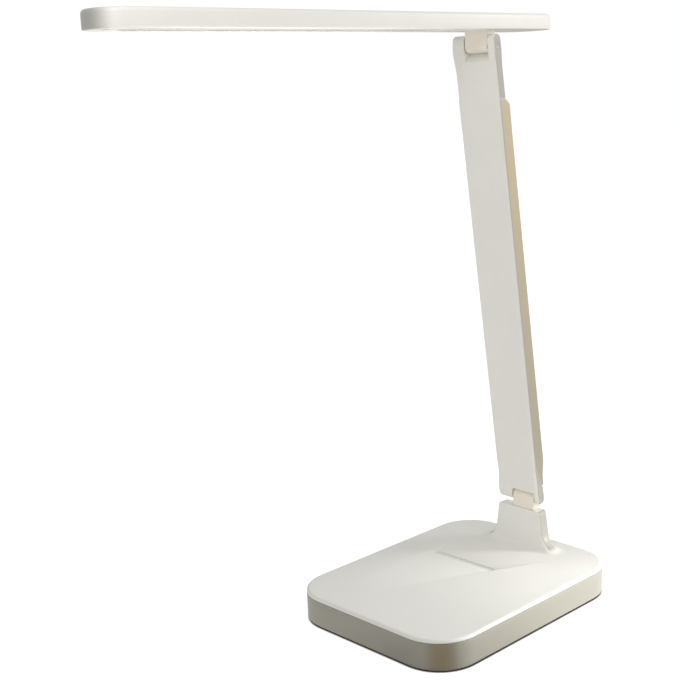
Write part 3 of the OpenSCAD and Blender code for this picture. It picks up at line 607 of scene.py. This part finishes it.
def lower_ear_rings():
    rings = []
    for a in TIP_ANGLES:
        u = -EAR_R * sind(a)
        corner = sag(2.2, max(0.0, -1.3 - u))
        left, right = -ARM_X - swell(u) + corner, ARM_X - corner * 0.5
        rings.append(ear_section(left, right, EAR_R * cosd(a), u, 0))
    for u in (2, 4, 6, 9):
        rings.append(ear_section(-ARM_X - swell(u), ARM_X, EAR_R, u, u))
    return rings


def plate_rings():
    """The ears' slanting end behind the plate, then the plate alone."""
    rings = [section(-ARM_X - swell(12), ARM_X, -EAR_R, 2.3, 1.6, 0.3, 12.4, PLATE_WIDE),
             section(-ARM_X, ARM_X, -EAR_R, 1.0, 1.6, 0.3, 15.4, PLATE_WIDE)]
    for u in (22.8, 60, 100, 140, 180, 220, 255.9):
        rings.append(section(-ARM_X, ARM_X, -EAR_R, PLATE_BACK, 1.59, 0.02, u, PLATE_WIDE))
    return rings


def upper_ear_rings():
    rings = []
    for u in (256.05, 264, 271, 275, 279, 283, 287):
        rings.append(ear_section(-ARM_X - swell(ARM_L - u), ARM_X, EAR_R, u, ARM_L - u))
    for a in reversed(TIP_ANGLES):
        rings.append(ear_section(-ARM_X, ARM_X, EAR_R * cosd(a), UPPER_TIP + EAR_R * sind(a), 0))
    return rings


def arm_flank(point, normal):
    return abs(point.x) > 15 and point.y > -2.9 and abs(normal.x) > 0.8


def arm_front():
    rings = lower_ear_rings() + plate_rings() + upper_ear_rings()
    front = piece(loft(rings), "arm_front", ARM, "white", "arm", ["arm_front_housing"])
    z = TOP_NOTCH_U
    cuts = [
        box((LOW_NOTCH[0], -7, -7), (LOW_NOTCH[1], 7, 5.0)),
        box((TOP_NOTCH[0], -7, z), (TOP_NOTCH[1], 7, ARM_L + 9)),
        prism([(-4.5, z - 5.5), (1.0, z), (1.0, z + 1), (-4.5, z + 1)], *TOP_NOTCH),
    ]
    for u in (0.0, ARM_L):
        cuts.append(rod(CAP_RECESS_R, -17, -13.1, "X", 40, u))
        cuts.append(rod(CAP_RECESS_R, 13.6, 17, "X", 40, u))
        cuts.append(rod(BORE_R, -14, 14, "X", 32, u))
    cut(front, ARM, *cuts)
    soften(front, 0.45, 55, 3)
    side_look(front, ARM, "side", arm_flank)


def arm_rear():
    rings = [section(-ARM_X, ARM_X, v0, v1, 0.25, 2.6, u) for u, v0, v1 in REAR_LEVELS]
    rear = piece(loft(rings), "arm_rear", ARM, "champagne", "arm", ["arm_rear_cover"])
    cut(rear, ARM, *[rod(1.9, 6.25, 9, "Y", 36, u) for u in SCREWS_U])
    soften(rear, 0.3, 55, 2)


def arm_screws():
    for i, u in enumerate(SCREWS_U):
        screw_head("arm_screw%d" % i, ARM, (0, 0, u), "Y", 1.8, 6.3, 7.35, "arm",
                   [] if i else ["arm_screws"])


# ---------------------------------------------------------------- hinges

CAP_PROFILE = [                 # radius, and how far out from the arm's middle
    (0, 14.8), (2.3, 14.8), (2.3, 15.3), (2.15, 15.45), (1.75, 15.5), (1.6, 15.42), (0, 15.42),
]
# one half of each knuckle's web and foot, as points of (y, z) from the hinge
LOWER_WEB = [(3.5, -7.35), (2.1, -7.35), (2.1, -35.1), (10.9, -35.1), (10.9, -38.0)]
UPPER_WEB = [(3.5, 10.9), (12.9, 10.9), (12.9, 13.8)]


def hinge_caps():
    for tag, u in (("lower", 0.0), ("upper", ARM_L)):
        for side, sign in (("left", -1), ("right", 1)):
            cap = lathe([(r, sign * x) for r, x in CAP_PROFILE], "X", 48, (0, 0, u))
            nodes = [tag + "_hinge_caps"] if side == "left" else []
            piece(cap, "%s_cap_%s" % (tag, side), ARM, "side", "arm", nodes)


def knuckle(name, place, last_angle, web, x0, x1, body, node):
    """A full-round eye on a web; last_angle says which way round the eye's arc goes."""
    outline = arc(EAR_R, 180, last_angle, 24) + web + [(-y, z) for y, z in reversed(web)]
    obj = piece(prism(outline, x0, x1), name, place, "block", body, [node])
    cut(obj, place, rod(BORE_R, -9, 16))
    soften(obj, 0.45, 55, 3)


def knuckles():
    low = Matrix.Translation(PIVOT)
    knuckle("lower_knuckle", low, 0, LOWER_WEB, -4.7, 11.9, "base", "lower_hinge_block")
    knuckle("upper_knuckle", HEAD, 360, UPPER_WEB, -6.2, 10.4, "head", "upper_hinge_block")


# ---------------------------------------------------------------- head

HEAD_PLAN = (32, 319, 15.4)     # width, length, corner radius
HEAD_MIDDLE = (59 - 260) / 2    # it reaches 260 in front of the hinge and 59 behind it
HEAD_LEVELS = [
    (9, 16.3), (1.75, 16.3), (1.62, 16.1), (1.6, 10.5), (1.55, 9.45), (1.4, 9.25), (1.2, 9.2),
    (0.45, 9.2), (0.2, 9.28), (0.05, 9.45), (0, 9.7), (0, 12), (0, 14), (0, 16.2),
    *upper_edge(2.0, 16.2, (10, 22, 34, 46, 58, 70, 80, 90)),
    (2.5, 18.18), (3.2, 18.02), (4.0, 17.95), (7, 18.0), (11, 18.1), (14, 18.15),
]
BEZEL_SCREWS = [(0, -251), (0, 50), (-9, -28), (9, -28)]


def head_pieces():
    piece(stack(*HEAD_PLAN, HEAD_LEVELS, HEAD_MIDDLE), "head_top_shell", HEAD, "head_white", "head",
          ["head_housing"])
    for i, (x, y) in enumerate(BEZEL_SCREWS):
        screw_head("bezel_screw%d" % i, HEAD, (x, y, 0), "Z", 1.75, 10.2, 9.35, "head",
                   [] if i else ["bezel_screws"])


base_pieces()
neck_piece()
arm_front()
arm_rear()
arm_screws()
hinge_caps()
knuckles()
head_pieces()
for obj, body, nodes in PIECES:
    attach(obj, body)
    if nodes:
        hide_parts(*nodes)


# ---------------------------------------------------------------- floor, light, camera

# soft light from the sky and from the floor: direction it comes from, and gain there
SKY_FLAT = 0.470
SKY = [((1, 1, 0.3), 0.441), ((1, -1, 0.3), 0.526)]
GROUND = [((1, 1, 0), 0.552), ((-1, -1, 0), 0.574)]
LOBE_POWER = 2

FLOOR_HALF = 6.0
FLOOR_LOOK = {"Roughness": 0.9, "Specular IOR Level": 0.1}
# the floor's painted contact shadow reaches this far
CONTACT = 0.0022                # how near a thing has to be to the floor to darken it
CONTACT_STOPS = (0.35, 0.85)
SEEN_GLOW = 0.90
BACKDROP_GLOW = 1.02

# name, place, aim, size, power, and the cone of a spot in degrees, or 0 for a disk
LAMPS = [
    ("key", (0.25, 0.25, 0.10), (0.066, -0.008, -0.015), 0.04, 5.4, 36.5),
    ("back_fill", (0.22, 0.27, 0.43), (0.0, 0.06, 0.34), 0.10, 0.24, 0),
    ("tip_fill", (0.10, -0.31, 0.43), (0.0, -0.19, 0.345), 0.05, 0.075, 0),
    ("under_fill", (0.0, -0.19, 0.04), (0.0, -0.125, 0.345), 0.03, 3.1, 46),
]
LAMP_COLOUR = (1, 0.985, 0.96)
SPOT_BLEND = 0.6

PHOTO_PIXELS = 680
FOCAL_PIXELS = 1187.015
SENSOR = 36.0
CAMERA_PLACE = (0.459718, -0.518201, 0.314561)
AZIMUTH, ELEVATION, ROLL = 47.025, 11.891, -2.477


def lobes(tree, vector, table, flat=0.0):
    """Strength that grows towards each direction of the table."""
    total = None
    for towards, gain in table:
        lit = add(tree, "ShaderNodeMath", operation="MAXIMUM")
        tree.links.new(reach(tree, vector, towards), lit.inputs[0])
        lit.inputs[1].default_value = 0.0
        curve = add(tree, "ShaderNodeMath", operation="POWER")
        tree.links.new(lit.outputs[0], curve.inputs[0])
        curve.inputs[1].default_value = LOBE_POWER
        part = add(tree, "ShaderNodeMath", operation="MULTIPLY_ADD")
        tree.links.new(curve.outputs[0], part.inputs[0])
        part.inputs[1].default_value = gain
        part.inputs[2].default_value = flat
        if total is not None:
            tree.links.new(total, part.inputs[2])
        total = part.outputs[0]
    return total


def by_ray(tree, seen, given, out):
    """Shows one shader to the camera and gives light with another."""
    ray = tree.nodes.new("ShaderNodeLightPath")
    tree.links.new(mixed(tree, ray.outputs["Is Camera Ray"], given, seen), out)


def mixed(tree, factor, low, high):
    mix = tree.nodes.new("ShaderNodeMixShader")
    tree.links.new(factor, mix.inputs["Fac"])
    tree.links.new(low, mix.inputs[1])
    tree.links.new(high, mix.inputs[2])
    return mix.outputs["Shader"]


def painted_contact_shadow(tree, open_floor):
    """Painted contact shadow: darkens the floor in the narrow gap under whatever stands on it."""
    close = add(tree, "ShaderNodeAmbientOcclusion", samples=16)
    close.inputs["Distance"].default_value = CONTACT
    dark = tree.nodes.new("ShaderNodeBsdfDiffuse")
    dark.inputs["Color"].default_value = (0.03, 0.032, 0.025, 1)
    open_share = smooth_step(tree, close.outputs["AO"], *CONTACT_STOPS)
    return mixed(tree, open_share, dark.outputs["BSDF"], open_floor)


def floor_material():
    mat, tree, given = node_tree("floor_white")
    put(given, FLOOR_LOOK)
    put(given, {"Base Color": (0.50, 0.50, 0.495, 1), "Emission Color": (1, 0.99, 0.97, 1)})
    where = add(tree, "ShaderNodeTexCoord")
    unit = add(tree, "ShaderNodeVectorMath", operation="NORMALIZE")
    tree.links.new(where.outputs["Object"], unit.inputs[0])
    tree.links.new(lobes(tree, unit.outputs["Vector"], GROUND), given.inputs["Emission Strength"])
    seen = tree.nodes.new("ShaderNodeBsdfPrincipled")
    put(seen, FLOOR_LOOK)
    put(seen, {"Base Color": (0.35, 0.35, 0.345, 1), "Emission Color": (1, 1, 1, 1)})
    seen.inputs["Emission Strength"].default_value = SEEN_GLOW
    out = tree.nodes["Material Output"].inputs["Surface"]
    by_ray(tree, painted_contact_shadow(tree, seen.outputs["BSDF"]), given.outputs["BSDF"], out)
    return mat


def make_floor():
    bm = bmesh.new()
    bmesh.ops.create_grid(bm, x_segments=8, y_segments=8, size=FLOOR_HALF)
    mesh = bpy.data.meshes.new("floor")
    bm.to_mesh(mesh)
    bm.free()
    mesh.materials.append(floor_material())
    floor = bpy.data.objects.new("floor", mesh)
    bpy.context.collection.objects.link(floor)


def make_world():
    """A backdrop that looks plain white; the light that it gives is softer and uneven."""
    world = bpy.data.worlds.new("studio")
    bpy.context.scene.world = world
    world.use_nodes = True
    tree = world.node_tree
    where = add(tree, "ShaderNodeTexCoord")
    given = tree.nodes["Background"]
    given.inputs["Color"].default_value = (1.0, 0.99, 0.96, 1)
    tree.links.new(lobes(tree, where.outputs["Generated"], SKY, SKY_FLAT), given.inputs["Strength"])
    plain = tree.nodes.new("ShaderNodeBackground")
    put(plain, {"Color": (1, 1, 1, 1), "Strength": BACKDROP_GLOW})
    out = tree.nodes["World Output"].inputs["Surface"]
    by_ray(tree, plain.outputs["Background"], given.outputs["Background"], out)


def make_lamp(name, place, aim, size, power, cone):
    data = bpy.data.lights.new(name, "SPOT" if cone else "AREA")
    if cone:
        data.shadow_soft_size = size
        data.spot_size = math.radians(cone)
        data.spot_blend = SPOT_BLEND
    else:
        data.shape = "DISK"
        data.size = size
    data.energy = power
    data.color = LAMP_COLOUR
    lamp = bpy.data.objects.new(name, data)
    lamp.location = place
    lamp.rotation_mode = "QUATERNION"
    lamp.rotation_quaternion = (Vector(aim) - Vector(place)).to_track_quat("-Z", "Y")
    lamp.visible_camera = False
    bpy.context.collection.objects.link(lamp)


def make_camera():
    ahead = Vector((-sind(AZIMUTH) * cosd(ELEVATION), cosd(AZIMUTH) * cosd(ELEVATION), -sind(ELEVATION)))
    level = Vector((cosd(AZIMUTH), sind(AZIMUTH), 0))
    upward = level.cross(ahead)
    right = level * cosd(ROLL) + upward * sind(ROLL)
    up = upward * cosd(ROLL) - level * sind(ROLL)
    data = bpy.data.cameras.new("camera")
    data.sensor_width = SENSOR
    data.lens = FOCAL_PIXELS / PHOTO_PIXELS * SENSOR
    data.clip_start = 0.01
    data.clip_end = 50
    camera = bpy.data.objects.new("camera", data)
    turned = Matrix((right, up, -ahead)).transposed().to_4x4()
    turned.translation = Vector(CAMERA_PLACE)
    camera.matrix_world = turned
    bpy.context.collection.objects.link(camera)
    bpy.context.scene.camera = camera


make_floor()
make_world()
for lamp in LAMPS:
    make_lamp(*lamp)
make_camera()
view = bpy.context.scene.view_settings
view.view_transform = "Standard"
view.look = "None"
view.exposure = 0.0
